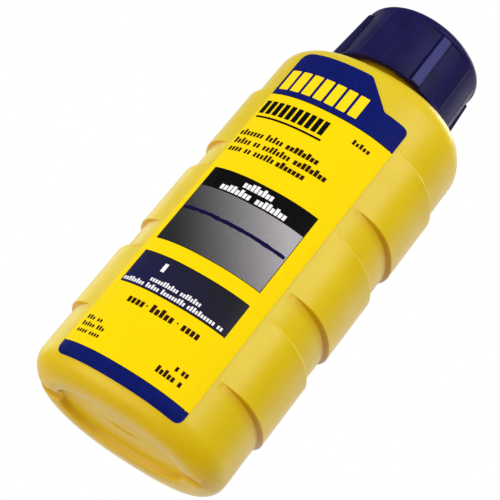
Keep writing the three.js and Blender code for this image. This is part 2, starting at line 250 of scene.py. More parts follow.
def wall_heights():
    """Heights of the rings up the wall, close together at the ends of a pad."""
    heights = [7.5, 10.0, 12.5, 15.0]
    for pad in range(PAD_COUNT):
        low = PAD_FIRST_Z + pad * PAD_PITCH
        top = low + PAD_LENGTH
        for step in range(RAMP_STEPS + 1):
            reach = RAMP_REACH * step / RAMP_STEPS
            heights += [low + reach, top - reach]
        heights += [low + 6.4, low + 9.6, low + 12.9, top + 2.5, top + 5.1]
    return sorted(z for z in heights if z < SHOULDER_Z - SHOULDER_HEIGHT - 0.5)


def outer_rings():
    """Rings of (half x, half y, z, power) from the base's middle to the mouth."""
    rings = [(0, 0, BASE_PANEL_RISE, OVAL_POWER)]
    for step in range(1, PANEL_STEPS + 1):
        rings.append((BASE_PANEL[0] * step / PANEL_STEPS, BASE_PANEL[1] * step / PANEL_STEPS,
                      BASE_PANEL_RISE, OVAL_POWER))
    for step in range(1, RIM_STEPS + 1):
        share = step / RIM_STEPS
        rings.append((BASE_PANEL[0] + (BASE_RIM_INNER[0] - BASE_PANEL[0]) * share,
                      BASE_PANEL[1] + (BASE_RIM_INNER[1] - BASE_PANEL[1]) * share,
                      BASE_PANEL_RISE * (1 - smooth_share(share)), OVAL_POWER))
    rings += edge_rings(HALF_WIDTH, HALF_DEPTH, 0, BASE_EDGE_HEIGHT,
                        BASE_EDGE_IN_X, BASE_EDGE_IN_Y, EDGE_STEPS)
    rings += [(HALF_WIDTH, HALF_DEPTH, z, OVAL_POWER) for z in wall_heights()]
    rings += edge_rings(HALF_WIDTH, HALF_DEPTH, SHOULDER_Z, -SHOULDER_HEIGHT,
                        SHOULDER_IN_X, SHOULDER_IN_Y, EDGE_STEPS)[::-1]
    half_x, half_y = HALF_WIDTH - SHOULDER_IN_X, HALF_DEPTH - SHOULDER_IN_Y
    foot = NECK_RADIUS + NECK_FILLET
    for share in (0.35, 0.7):
        rings.append((half_x + (foot - half_x) * share, half_y + (foot - half_y) * share,
                      SHOULDER_Z + 0.08 * share, OVAL_POWER + (2 - OVAL_POWER) * share))
    for step in range(5):
        turn = step / 4 * math.pi / 2
        radius = NECK_RADIUS + NECK_FILLET * (1 - math.sin(turn))
        rings.append((radius, radius, SHOULDER_Z + 0.1 + 0.8 * (1 - math.cos(turn)), 2))
    rings.append((NECK_RADIUS, NECK_RADIUS, NECK_TOP_Z - NECK_LIP, 2))
    for step in range(1, 5):
        turn = step / 4 * math.pi / 2
        radius = NECK_RADIUS - NECK_LIP * (1 - math.cos(turn))
        rings.append((radius, radius, NECK_TOP_Z - NECK_LIP * (1 - math.sin(turn)), 2))
    return rings


def inner_rings():
    """Rings of the inside, from the mouth down to the floor's middle."""
    half_x, half_y = HALF_WIDTH - WALL, HALF_DEPTH - WALL
    ceiling = SHOULDER_Z - 1.3
    rings = [(NECK_BORE + 0.25, NECK_BORE + 0.25, NECK_TOP_Z, 2),
             (NECK_BORE, NECK_BORE, NECK_TOP_Z - 0.25, 2),
             (NECK_BORE, NECK_BORE, ceiling + 0.9, 2),
             (NECK_BORE + 0.3, NECK_BORE + 0.3, ceiling + 0.2, 2)]
    rings += edge_rings(half_x, half_y, ceiling, *INNER_SHOULDER, 8)
    rings += [(half_x, half_y, z, OVAL_POWER) for z in (80, 55, 30)]
    rings += edge_rings(half_x, half_y, BASE_FLOOR_Z, *INNER_FLOOR, 8)[::-1]
    rings.append((0, 0, BASE_FLOOR_Z, OVAL_POWER))
    return rings


def base_relief(x, y, z):
    """Pinch-off seam across the panel and a notch through the rim at each end."""
    if z > BASE_PANEL_RISE - 0.01 and abs(x) < PINCH_END_X + PINCH_FADE:
        fade = 1 - smooth_share((abs(x) - PINCH_END_X + PINCH_FADE) / (2 * PINCH_FADE))
        z -= PINCH_HEIGHT * fade * math.exp(-(y / PINCH_HALF) ** 2)
    if abs(x) > NOTCH_FROM_X and abs(y) < NOTCH_HALF:
        rise = NOTCH_RISE if x < 0 else NOTCH_RISE_RIGHT
        z = max(z, rise * smooth_share((NOTCH_HALF - abs(y)) / NOTCH_WALL))
    return z


def painted_shade_share(x, y, z):
    """Painted shade: how far the yellow is darkened to amber under each pad, on the wall of the
    base recess and where the shoulder meets the neck under the cap."""
    if z > SHOULDER_Z - 0.6:
        near_neck = smooth_share((NECK_FOOT_RADIUS - math.hypot(x, y)) / NECK_FOOT_FADE)
        return near_neck * (1 - smooth_share((z - SHOULDER_Z - 0.5) / 1.5))
    if z > BASE_EDGE_HEIGHT:
        growth = pad_height(x, z + LEDGE_REACH) - pad_height(x, z - LEDGE_REACH)
        return LEDGE_SHADE * smooth_share(growth / LEDGE_RISE)
    inside = sum((abs(value) / (half + 0.3)) ** OVAL_POWER
                 for value, half in zip((x, y), BASE_RIM_INNER))
    wall = smooth_share(z / 0.5) * smooth_share((BASE_PANEL_RISE - z) / 0.3)
    in_notch = abs(x) > NOTCH_FROM_X and abs(y) < NOTCH_HALF and z < NOTCH_RISE + 0.05
    return RECESS_SHADE * wall if inside < 1 or in_notch else 0.0


def build_bottle(material):
    outer = outer_rings()
    rings = outer + inner_rings()

    def place(angle, row):
        half_x, half_y, z, power = rings[row]
        x, y = oval_point(crowded(angle), half_x, half_y, power)
        if row >= len(outer):
            return Vector((x, y, z))
        if half_x == 0:
            return Vector((0, 0, base_relief(0, 0, z)))
        out = pad_height(x, z)
        if abs(x) > PARTING_FROM_X and z < SHOULDER_Z:
            out += PARTING_PROUD * math.exp(-(y / PARTING_HALF) ** 2)
        nx, ny = oval_normal(x, y, half_x, half_y, power)
        x, y = x + nx * out, y + ny * out
        if row < BASE_ROWS:
            z = base_relief(x, y, z)
        return Vector((x, y, z))

    bm = spun_rows(len(rings), BODY_COLUMNS, place, poles=(0, len(rings) - 1))
    # Painted shade: per-vertex share of the amber darkening, read by the material.
    painted_shade = bm.verts.layers.float.new("painted_shade")
    for vert in bm.verts:
        vert[painted_shade] = painted_shade_share(*vert.co)
    return place_piece("bottle_shell", bm, material, "container",
                       replaces=("bottle",))


def build_thread(name, root, crest, start_z, material, body):
    """A ridge that climbs round the neck and runs out at both ends."""
    section = [(root, -THREAD_HALF_ROOT), (crest, -THREAD_HALF_CREST),
               (crest, THREAD_HALF_CREST), (root, THREAD_HALF_ROOT)]
    bm = bmesh.new()
    corners = [bm.verts.new((radius, 0, z)) for radius, z in section]
    end = [bm.faces.new(corners)]
    share_layer = bm.verts.layers.float.new("share")
    turn = THREAD_TURNS / THREAD_STEPS
    rotation = Matrix.Rotation(turn * 2 * math.pi, 3, "Z")
    for step in range(1, THREAD_STEPS + 1):
        made = bmesh.ops.extrude_face_region(bm, geom=end)["geom"]
        inside = end if step > 1 else []
        end = [item for item in made if isinstance(item, bmesh.types.BMFace)]
        verts = [item for item in made if isinstance(item, bmesh.types.BMVert)]
        bmesh.ops.rotate(bm, cent=(0, 0, 0), matrix=rotation, verts=verts)
        bmesh.ops.translate(bm, vec=(0, 0, turn * THREAD_PITCH), verts=verts)
        for vert in verts:
            vert[share_layer] = step / THREAD_STEPS
        bmesh.ops.delete(bm, geom=inside, context="FACES_ONLY")
    for vert in bm.verts:
        share = vert[share_layer]
        run_out = smooth_share(min(share, 1 - share) * THREAD_RUN_OUT)
        radius = math.hypot(vert.co.x, vert.co.y)
        wanted = root + (radius - root) * run_out
        vert.co.x *= wanted / radius
        vert.co.y *= wanted / radius
    bmesh.ops.translate(bm, vec=(0, 0, start_z), verts=bm.verts)
    sharp = [edge for edge in bm.edges if edge.is_manifold and edge.calc_face_angle(0) > 0.6]
    bmesh.ops.bevel(bm, geom=sharp, offset=0.1, segments=2, profile=0.5, affect="EDGES",
                    material=-1)
    return place_piece(name, bm, material, body, crease=50)


# ------------------------------------------------------------------------- cap


def from_rib(degrees):
    pitch = 360 / RIB_COUNT
    offset = (degrees - RIB_FIRST_DEG) % pitch
    return min(offset, pitch - offset)


def face_radius(offset, radius):
    """The grip sinks a little towards each rib, from a fine crease each side."""
    share = (FACE_END_DEG - max(offset, RIB_HALF_DEG)) / (FACE_END_DEG - RIB_HALF_DEG)
    return radius - FACE_DEPTH * max(0.0, share)


def wall_radius(z):
    return CAP_RADIUS - CAP_DRAFT * (z - CAP_BOTTOM_Z) / (CAP_TOP_Z - CAP_BOTTOM_Z)


def rib_proud(z):
    """The ribs stand proudest at the skirt and sink towards the top."""
    share = min(1.0, (z - CAP_BOTTOM_Z) / (RIB_TOP_Z - CAP_BOTTOM_Z))
    return RIB_PROUD_LOW + (RIB_PROUD_HIGH - RIB_PROUD_LOW) * share


def cap_rows():
    """Rows of (radius, z, outside): the skirt, the top, then the inside."""
    rows = [(CAP_BORE + 0.1, CAP_BOTTOM_Z, False),
            (wall_radius(CAP_BOTTOM_Z) - 0.15, CAP_BOTTOM_Z, True)]
    skirt = (0.06, 0.15, 0.35, 0.6, 0.75, 0.9, 1.05, 1.2, 1.4, 1.7, 3.0, 6.0, 9.0, 12.0, 14.5,
             16.0, 16.3, 16.5, 16.65, 16.8, 16.95, 17.1, 17.3)
    for height in skirt:
        rows.append((wall_radius(CAP_BOTTOM_Z + height), CAP_BOTTOM_Z + height, True))
    edge_z = CAP_TOP_Z - CAP_EDGE
    for step in range(10):
        turn = step / 9 * math.pi / 2
        rows.append((wall_radius(edge_z) - CAP_EDGE * (1 - math.cos(turn)),
                     edge_z + CAP_EDGE * math.sin(turn), True))
    rows += [(9.0, CAP_TOP_Z, False), (0, CAP_TOP_Z, False), (0, CAP_CEILING_Z, False)]
    rows += [(CAP_BORE - 0.4, CAP_CEILING_Z, False), (CAP_BORE, CAP_CEILING_Z - 0.4, False),
             (CAP_BORE, CAP_BOTTOM_Z + 0.1, False)]
    return rows


def build_cap(material):
    rows = cap_rows()
    lip_top = CAP_BOTTOM_Z + CAP_LIP_HEIGHT

    def place(angle, row):
        radius, z, outside = rows[row]
        if outside:
            offset = from_rib(math.degrees(angle))
            lip = 1 - smooth_share((z - lip_top + 0.15) / 0.4)
            top = smooth_share((z - RIB_TOP_Z + 0.3) / 0.7)
            face = face_radius(offset, radius)
            face += BEAD_PROUD * math.exp(-((offset - FACE_END_DEG) / BEAD_DEG) ** 2)
            grip = face + (radius - face) * top
            plain = grip + (radius + CAP_LIP_PROUD - grip) * lip
            rib = 1 - smooth_share((offset - RIB_HALF_DEG) / FLANK_DEG)
            rib *= 1 - smooth_share((z - RIB_TOP_Z + 0.5) / 0.5)
            radius = plain + (radius + rib_proud(z) - plain) * rib
        return Vector((radius * math.cos(angle), radius * math.sin(angle), z))

    poles = [index for index, item in enumerate(rows) if item[0] == 0]
    bm = spun_rows(len(rows), CAP_COLUMNS, place, poles=poles)
    # Painted highlight: marks the rib faces that the material paints paler.
    painted_rib_highlight = bm.verts.layers.float.new("painted_rib_highlight")
    for vert in bm.verts:
        offset = from_rib(math.degrees(math.atan2(vert.co.y, vert.co.x)))
        on_grip = CAP_BOTTOM_Z < vert.co.z < RIB_TOP_Z and vert.co.xy.length > CAP_BORE + 0.5
        vert[painted_rib_highlight] = 1 - smooth_share((offset - RIB_HALF_DEG + 0.8) / 0.8) if on_grip else 0.0
    return place_piece("cap_shell", bm, material, "cap", crease=28,
                       replaces=("cap",))


def build_liner(material):
    """A foam disc with the shallow ring that the bottle's mouth presses in it."""
    pressed = LINER_BOTTOM_Z + LINER_GROOVE
    rows = [(0, LINER_BOTTOM_Z), (LINER_RADIUS - 2.6, LINER_BOTTOM_Z),
            (LINER_RADIUS - 2.3, pressed), (LINER_RADIUS - 0.8, pressed),
            (LINER_RADIUS - 0.5, LINER_BOTTOM_Z), (LINER_RADIUS - LINER_EDGE, LINER_BOTTOM_Z),
            (LINER_RADIUS, LINER_BOTTOM_Z + LINER_EDGE), (LINER_RADIUS, LINER_TOP_Z - LINER_EDGE),
            (LINER_RADIUS - LINER_EDGE, LINER_TOP_Z), (0, LINER_TOP_Z)]

    def place(angle, row):
        radius, z = rows[row]
        return Vector((radius * math.cos(angle), radius * math.sin(angle), z))

    bm = spun_rows(len(rows), 144, place, poles=(0, len(rows) - 1))
    return place_piece("liner_disc", bm, material, "liner",
                       replaces=("cap_liner",))


# ----------------------------------------------------------------------- chalk


def build_chalk(material):
    inset = WALL + CHALK_GAP
    half_x, half_y = HALF_WIDTH - inset, HALF_DEPTH - inset
    rings = [(0, 0, BASE_FLOOR_Z + CHALK_GAP, OVAL_POWER)]
    rings += edge_rings(half_x, half_y, BASE_FLOOR_Z + CHALK_GAP, *INNER_FLOOR, 6)
    rings += [(half_x, half_y, z, OVAL_POWER) for z in (30, 60, CHALK_EDGE_Z - 0.5)]
    heap_from = len(rings)
    for step in range(HEAP_STEPS):
        share = 1 - step / HEAP_STEPS
        rings.append((half_x * share, half_y * share,
                      CHALK_EDGE_Z + CHALK_MOUND * (1 - share * share), OVAL_POWER))
    rings.append((0, 0, CHALK_EDGE_Z + CHALK_MOUND, OVAL_POWER))

    def place(angle, row):
        half_x, half_y, z, power = rings[row]
        x, y = oval_point(angle, half_x, half_y, power)
        if row >= heap_from:
            spot = Vector((x, y, 0))
            z += sum(height * noise.noise(spot * waves) for height, waves in CHALK_LUMPS)
        return Vector((x, y, z))

    bm = spun_rows(len(rings), 180, place, poles=(0, len(rings) - 1))
    return place_piece("chalk_heap", bm, material, "container",
                       replaces=("chalk_fill",))


# ---------------------------------------------------------------------- labels


def rounded(corners):
    """Outline through (x, z, radius) corners, each rounded with short chords."""
    outline = []
    count = len(corners)
    for index, (x, z, radius) in enumerate(corners):
        here = Vector((x, z))
        if radius == 0:
            outline.append((x, z))
            continue
        before = (Vector(corners[index - 1][:2]) - here).normalized() * radius
        after = (Vector(corners[(index + 1) % count][:2]) - here).normalized() * radius
        for step in range(7):
            t = step / 6
            spot = here + before * (1 - t) ** 2 + after * t ** 2
            outline.append((spot.x, spot.y))
    return outline


def block(x0, x1, z0, z1, radius=0.0):
    return rounded([(x0, z0, radius), (x1, z0, radius), (x1, z1, radius), (x0, z1, radius)])


def trap_block(x_range, z_range):
    """A block's dark overprint, a little larger than the block itself."""
    return block(x_range[0] - TRAP_WIDTH, x_range[1] + TRAP_WIDTH,
                 z_range[0] - TRAP_WIDTH, z_range[1] + TRAP_WIDTH)


def front_outline(inset=0.0, low=None):
    """The die-cut front label, or the part of it above a height."""
    half = LABEL_HALF - inset
    bottom = LABEL_BOTTOM_Z + inset if low is None else low
    base_corner = 2.2 if low is None else 0
    return rounded([(-half, bottom, base_corner), (half, bottom, base_corner),
                    (half, LABEL_STEP_Z - inset, 1.8),
                    (10.4 - inset * 0.4, LABEL_STEP_Z - inset, 0.5),
                    (2.6 - inset, LABEL_TOP_Z - inset, 1.0), (-half, LABEL_TOP_Z - inset, 3.0)])


def drape(outlines, lift, thick, back=False):
    """Flat outlines cut into strips, thickened, and laid on the curved panel."""
    bm = bmesh.new()
    for outline in outlines:
        bm.faces.new([bm.verts.new((x, 0, z)) for x, z in outline])
    bmesh.ops.triangulate(bm, faces=bm.faces)
    cuts = [((x, 0, 0), (1, 0, 0)) for x in range(-17, 18)]
    curved_ends = (3.7, 4.0, 4.4, 4.9, 5.5, 102.2, 102.6, 103.0, 103.3)
    cuts += [((0, 0, z), (0, 0, 1)) for z in curved_ends]
    for place, normal in cuts:
        bmesh.ops.bisect_plane(bm, geom=bm.verts[:] + bm.edges[:] + bm.faces[:], dist=1e-5,
                               plane_co=place, plane_no=normal)
    made = bmesh.ops.extrude_face_region(bm, geom=bm.faces[:], use_keep_orig=True)["geom"]
    for item in made:
        if isinstance(item, bmesh.types.BMVert):
            item.co.y = 1.0
    for vert in bm.verts:
        vert.co.y = -(panel_depth(vert.co.x, vert.co.z) + lift + thick * vert.co.y)
    if back:
        bmesh.ops.rotate(bm, cent=(0, 0, 0), matrix=Matrix.Rotation(math.pi, 3, "Z"),
                         verts=bm.verts)
    return bm


def label_piece(name, outlines, material, lift=INK_LIFT, thick=INK_THICK, back=False,
                replaces=()):
    bm = drape(outlines, lift, thick, back)
    return place_piece(name, bm, material, "container", crease=40,
                       replaces=replaces)


def snapped_line(x0, x1, middle, half):
    """A printed chalk line, its edges a little ragged."""
    steps = 48
    edge = []
    for side in (-1, 1):
        for step in range(steps + 1):
            x = x0 + (x1 - x0) * step / steps
            rough = noise.noise(Vector((x * 1.3, side * 5.0, 0.5))) * 0.22
            edge.append((x, middle + side * (half + rough)))
    return edge[:steps + 1] + edge[:steps:-1]


def filler_words(start, base_z, height, words, pitch, weight=0.68):
    """A row of plain upright bars where a label carries a line of print."""
    bars = []
    x = start
    pattern = (1.0, 0.7, 0.7, 0.95, 0.7, 1.0, 0.7, 0.7, 0.7)
    for count in words:
        for index in range(count):
            top = base_z + height * pattern[(index * 2 + count) % len(pattern)]
            bars.append(block(x, x + pitch * weight, base_z, top))
            x += pitch
        x += pitch * 0.8
    return bars


def print_rows(rows):
    """Bars for rows of (start, base z, height, letters per word, pitch, weight)."""
    return [bar for row in rows for bar in filler_words(*row)]


# ------------------------------------------------------------------- materials


def hex_colour(code):
    """sRGB hex to linear RGBA."""
    channels = [int(code[i:i + 2], 16) / 255 for i in (1, 3, 5)]
    linear = [c / 12.92 if c <= 0.04045 else ((c + 0.055) / 1.055) ** 2.4 for c in channels]
    return (*linear, 1.0)


def add_node(tree, kind, inputs=None, **settings):
    item = tree.nodes.new(kind)
    for key, value in settings.items():
        setattr(item, key, value)
    for socket, value in (inputs or {}).items():
        if isinstance(value, bpy.types.NodeSocket):
            tree.links.new(value, item.inputs[socket])
        else:
            item.inputs[socket].default_value = value
    return item


def per_mm(size):
    """Noise scale for features of a size in millimetres."""
    return 1 / (size * MM)


def new_material(name):
    material = bpy.data.materials.new(name)
    material.use_nodes = True
    tree = material.node_tree
    tree.nodes.clear()
    place = add_node(tree, "ShaderNodeTexCoord").outputs["Object"]
    return material, tree, place


def spread(tree, value, from_low, from_high, low, high):
    """A value mapped from one range to another."""
    graded = add_node(tree, "ShaderNodeMapRange",
                      {"Value": value, "From Min": from_low, "From Max": from_high,
                       "To Min": low, "To Max": high})
    return graded.outputs["Result"]


def combine(tree, operation, *values, **settings):
    """The result of one arithmetic step."""
    step = add_node(tree, "ShaderNodeMath", dict(enumerate(values)), operation=operation,
                    **settings)
    return step.outputs[0]


def mottle(tree, place, size, low, high, detail=3.0):
    """Noise of a given grain size, mapped to a range."""
    grain = add_node(tree, "ShaderNodeTexNoise",
                     {"Vector": place, "Scale": per_mm(size), "Detail": detail})
    return spread(tree, grain.outputs["Fac"], 0.3, 0.7, low, high)


def blend_colours(tree, share, first, second):
    """A mix of two colours, each a hex code or another node's output."""
    first, second = (hex_colour(c) if isinstance(c, str) else c for c in (first, second))
    mix = add_node(tree, "ShaderNodeMix", {0: share, 6: first, 7: second}, data_type="RGBA")
    return mix.outputs[2]


def relief(tree, height, depth_mm, strength=1.0):
    bump = add_node(tree, "ShaderNodeBump",
                    {"Height": height, "Distance": depth_mm * MM, "Strength": strength})
    return bump.outputs["Normal"]


def finish_surface(tree, inputs, fixed):
    """Principled surface: patterns linked in, everything even set on its socket."""
    surface = add_node(tree, "ShaderNodeBsdfPrincipled", {**inputs, **fixed})
    add_node(tree, "ShaderNodeOutputMaterial", {"Surface": surface.outputs["BSDF"]})


def hdpe_blow_moulded():
    """Blow-moulded HDPE: waxy, slightly translucent yellow with a soft satin sheen, faint flow
    mottle and a fine pebble from the sand-blasted mould, and painted shade that darkens it to amber
    under the pads, in the base recess and at the neck's foot."""
    material, tree, place = new_material("hdpe_blow_moulded_yellow")
    flow = mottle(tree, place, 14.0, 0.0, 1.0, detail=2.0)
    painted_shade = add_node(tree, "ShaderNodeAttribute", attribute_name="painted_shade").outputs["Fac"]
    specks = mottle(tree, place, 0.9, 0.0, 1.0, detail=1.0)
    pebble = combine(tree, "ADD", specks, mottle(tree, place, 3.0, 0.0, 1.6))
    finish_surface(tree, {
        # Painted shade: the yellow is mixed towards amber #D2A000 by the painted shade attribute.
        "Base Color": blend_colours(tree, painted_shade, blend_colours(tree, flow, "#E4CA04", "#DFC303"),
                                    "#D2A000"),
        "Roughness": mottle(tree, place, 5.0, 0.3, 0.38),
        "Normal": relief(tree, pebble, 0.012, 0.6),
    }, {"IOR": 1.54, "Specular IOR Level": 0.42, "Subsurface Weight": 0.12,
        "Subsurface Scale": 1.0 * MM, "Subsurface Radius": (3.0, 2.2, 0.2)})
    return material


def polypropylene_moulded():
    """Injection-moulded polypropylene: deep navy, smooth and half glossy, with fine draw marks up
    the grip faces, a little haze, and a painted highlight that makes the rib faces paler."""
    material, tree, place = new_material("polypropylene_moulded_navy")
    stretch = add_node(tree, "ShaderNodeMapping", {"Vector": place, "Scale": (1.0, 1.0, 0.06)})
    draw = mottle(tree, stretch.outputs["Vector"], 0.35, 0.0, 1.0, detail=2.0)
    haze = mottle(tree, place, 6.0, 0.0, 1.0)
    painted_rib_highlight = add_node(tree, "ShaderNodeAttribute", attribute_name="painted_rib_highlight").outputs["Fac"]
    finish_surface(tree, {
        # Painted highlight: the rib faces are mixed to a paler #3A3C78.
        "Base Color": blend_colours(tree, painted_rib_highlight, blend_colours(tree, haze, "#120D46", "#181355"),
                                    "#3A3C78"),
        "Roughness": mottle(tree, place, 4.0, 0.38, 0.48),
        "Normal": relief(tree, draw, 0.006, 0.5),
    }, {"IOR": 1.49, "Specular IOR Level": 0.2})
    return material


def foam_liner():
    """Die-cut polyethylene foam: matt white with fine closed cells."""
    material, tree, place = new_material("polyethylene_foam_white")
    cells = add_node(tree, "ShaderNodeTexVoronoi", {"Vector": place, "Scale": per_mm(0.6)})
    finish_surface(tree, {
        "Base Color": blend_colours(tree, mottle(tree, place, 2.5, 0.0, 1.0), "#F1EFE8", "#E2E0D8"),
        "Roughness": mottle(tree, place, 1.2, 0.72, 0.88),
        "Normal": relief(tree, cells.outputs["Distance"], 0.06, 0.6),
    }, {"IOR": 1.45})
    return material


def chalk_powder():
    """Dry pigment chalk: dead-matt blue powder, clumped, with paler dusty crests."""
    material, tree, place = new_material("marking_chalk_blue")
    clumps = mottle(tree, place, 2.4, 0.0, 1.0, detail=6.0)
    grains = add_node(tree, "ShaderNodeTexVoronoi", {"Vector": place, "Scale": per_mm(0.5)})
    height = combine(tree, "ADD", clumps, grains.outputs["Distance"])
    finish_surface(tree, {
        "Base Color": blend_colours(tree, clumps, "#1C3FA8", "#3E63CF"),
        "Roughness": mottle(tree, place, 1.0, 0.9, 1.0),
        "Normal": relief(tree, height, 0.25, 0.9),
    }, {"IOR": 1.5, "Specular IOR Level": 0.15, "Sheen Weight": 0.25})
    return material


def film_print(name, first, second, roughness=(0.45, 0.55), specular=0.07):
    """Ink on gloss polypropylene label film: dense colour with a faint press
    mottle, and the slow ripple of film laid on a bottle."""
    material, tree, place = new_material(name)
    press = mottle(tree, place, 1.1, 0.0, 1.0, detail=4.0)
    finish_surface(tree, {
        "Base Color": blend_colours(tree, press, first, second),
        "Roughness": mottle(tree, place, 7.0, *roughness),
        "Normal": relief(tree, mottle(tree, place, 9.0, 0.0, 1.0, detail=1.0), 0.02, 0.5),
    }, {"IOR": 1.49, "Specular IOR Level": specular})
    return material


def film_print_fade(name, low_z, high_z, low_left, high_right, curve):
    """A printed panel that fades from one tone to another across the label."""
    material, tree, place = new_material(name)
    parts = add_node(tree, "ShaderNodeSeparateXYZ", {"Vector": place})
    across = spread(tree, parts.outputs["X"], FADE_X[0] * MM, FADE_X[1] * MM, 0.0, 0.75)
    up = spread(tree, parts.outputs["Z"], low_z * MM, high_z * MM, 0.0, 0.35)
    speck = mottle(tree, place, 0.5, -0.03, 0.03, detail=4.0)
    even = combine(tree, "ADD", combine(tree, "ADD", across, up), speck, use_clamp=True)
    share = combine(tree, "POWER", even, curve)
    finish_surface(tree, {
        "Base Color": blend_colours(tree, share, low_left, high_right),
        "Roughness": mottle(tree, place, 7.0, 0.3, 0.38),
        "Normal": relief(tree, mottle(tree, place, 9.0, 0.0, 1.0, detail=1.0), 0.02, 0.5),
    }, {"IOR": 1.49, "Specular IOR Level": 0.2})
    return material


def studio_card():
    """Matt pale card, seen only from above so that low views look past it."""
    material, tree, place = new_material("studio_card_pale")
    tone = blend_colours(tree, mottle(tree, place, 12.0, 0.0, 1.0), "#F4F3F0", "#EFEEEA")
    card = add_node(tree, "ShaderNodeBsdfPrincipled", {"Base Color": tone, "Roughness": 0.85})
    clear = add_node(tree, "ShaderNodeBsdfTransparent")
    under = add_node(tree, "ShaderNodeNewGeometry").outputs["Backfacing"]
    mix = add_node(tree, "ShaderNodeMixShader",
                   {0: under, 1: card.outputs["BSDF"], 2: clear.outputs["BSDF"]})
    add_node(tree, "ShaderNodeOutputMaterial", {"Surface": mix.outputs["Shader"]})
    return material


# -------------------------------------------------------------------- assembly

plastic = hdpe_blow_moulded()
navy_cap = polypropylene_moulded()
yellow_film = film_print("label_film_yellow", "#F5D800", "#F3D400", specular=0.04)
yellow_ink = film_print("label_ink_yellow", "#FFDD14", "#FFD90C")
blue_ink = film_print("label_ink_blue", "#061672", "#04115C")
trap_ink = film_print("label_ink_trap", "#1E1408", "#181006")
navy_ink = film_print("label_ink_navy", "#0E0C46", "#0A0838")
black_ink = film_print("label_ink_black", "#121214", "#0C0C0E")
brown_ink = film_print("label_ink_brown", "#3A1604", "#2E1002")
white_ink = film_print("label_ink_white", "#F6F5FA", "#ECEBF4")
picture_ink = film_print_fade("label_ink_grey_picture", *PICTURE_Z, "#222226", "#ACAAB0", 1.9)
panel_ink = film_print_fade("label_ink_charcoal_panel", *PANEL_Z, "#13145C", "#222228", 0.5)

build_bottle(plastic)
build_thread("neck_thread", NECK_RADIUS - 0.1, NECK_THREAD_CREST, THREAD_Z,
             plastic, "container")
build_chalk(chalk_powder())
build_cap(navy_cap)
build_thread("cap_thread", CAP_BORE + 0.1, CAP_THREAD_CREST, THREAD_Z - THREAD_PITCH / 2,
             navy_cap, "cap")
build_liner(foam_liner())

# Front label. Lines of print are plain bars with no lettering.
label_piece("front_film", [front_outline()], yellow_film, FILM_LIFT, FILM_THICK,
            replaces=("front_label",))
trap_half, ink_half = LABEL_HALF - TRAP_INSET, LABEL_HALF - INK_INSET
label_piece("front_trap", [front_outline(TRAP_INSET, LABEL_HEADER_Z - TRAP_WIDTH),
                           trap_block(PICTURE_X, (PICTURE_Z[0], BAND_Z[1])),
                           trap_block(PICTURE_X, PANEL_Z),
                           block(-trap_half, trap_half, 5.5, FOOT_TOP_Z + TRAP_WIDTH)],
            trap_ink, TRAP_LIFT, TRAP_THICK)
label_piece("front_header", [front_outline(INK_INSET, LABEL_HEADER_Z)], blue_ink)
foot_z = LABEL_BOTTOM_Z + INK_INSET
label_piece("front_foot", [rounded([(-ink_half, foot_z, 2.2), (ink_half, foot_z, 2.2),
                                    (ink_half, FOOT_TOP_Z, 0), (-ink_half, FOOT_TOP_Z, 0)])],
            blue_ink)
header_bars = [block(-16.5 + index * 3.32, -13.95 + index * 3.32, 90.5, 97.1, 0.25)
               for index in range(7)]
label_piece("front_header_bars", header_bars, yellow_ink, TOP_INK_LIFT)
title = [block(-16.6 + index * 1.9, -15.25 + index * 1.9, 81.9, 86.2, 0.1) for index in range(10)]
title.append(block(-16.4, 2.5, 80.4, 81.0))
label_piece("front_title", title, black_ink)
lines = print_rows([
    (8.9, 84.2, 1.5, [5], 0.98),
    (-16.8, 74.3, 1.9, [7, 5], 0.98), (-3.4, 74.3, 1.9, [8], 1.15, 0.8),
    (-16.6, 71.5, 1.9, [5, 2, 8], 0.98), (0.6, 71.5, 1.9, [8], 1.15, 0.8),
    (-16.5, 68.9, 1.9, [4, 2, 6], 0.98), (-2.6, 68.9, 1.9, [7], 1.15, 0.8),
    (-10.3, 21.3, 2.2, [4], 1.2, 0.75), (-3.8, 21.3, 2.2, [5], 1.3, 0.75),
    (4.9, 21.3, 2.2, [4], 1.2, 0.75),
    (-16.2, 13.8, 1.2, [3, 2], 0.8), (-16.2, 11.9, 1.2, [5, 3], 0.75),
    (-16.2, 10.0, 1.2, [4, 4], 0.75),
    (9.6, 12.7, 1.7, [1, 2], 0.9, 0.75), (6.2, 10.1, 1.8, [5, 1], 1.0, 0.75)])
lines += [block(-5.2, -4.8, 22.1, 22.5), block(3.4, 3.8, 22.1, 22.5)]
label_piece("front_lines", lines, brown_ink)
label_piece("front_picture", [block(*PICTURE_X, *PICTURE_Z)], picture_ink)
label_piece("front_picture_band", [block(*PICTURE_X, *BAND_Z)], black_ink)
label_piece("front_chalk_line", [snapped_line(-15.4, 13.2, 49.9, 0.5)], navy_ink, TOP_INK_LIFT)
label_piece("front_panel", [block(*PANEL_X, *PANEL_Z)], panel_ink)
pale = print_rows([
    (-5.6, 60.1, 2.0, [8], 1.06, 0.78), (-10.5, 57.5, 2.0, [8], 1.08, 0.78),
    (-0.5, 57.5, 2.0, [8], 1.08, 0.78),
    (-8.9, 28.3, 1.3, [11, 8], 0.72), (-15.4, 26.4, 1.3, [8, 5, 9, 10, 2], 0.75)])
pale.append(block(-8.3, -7.3, 31.4, 33.8))
label_piece("front_pale_lines", pale, white_ink, TOP_INK_LIFT)

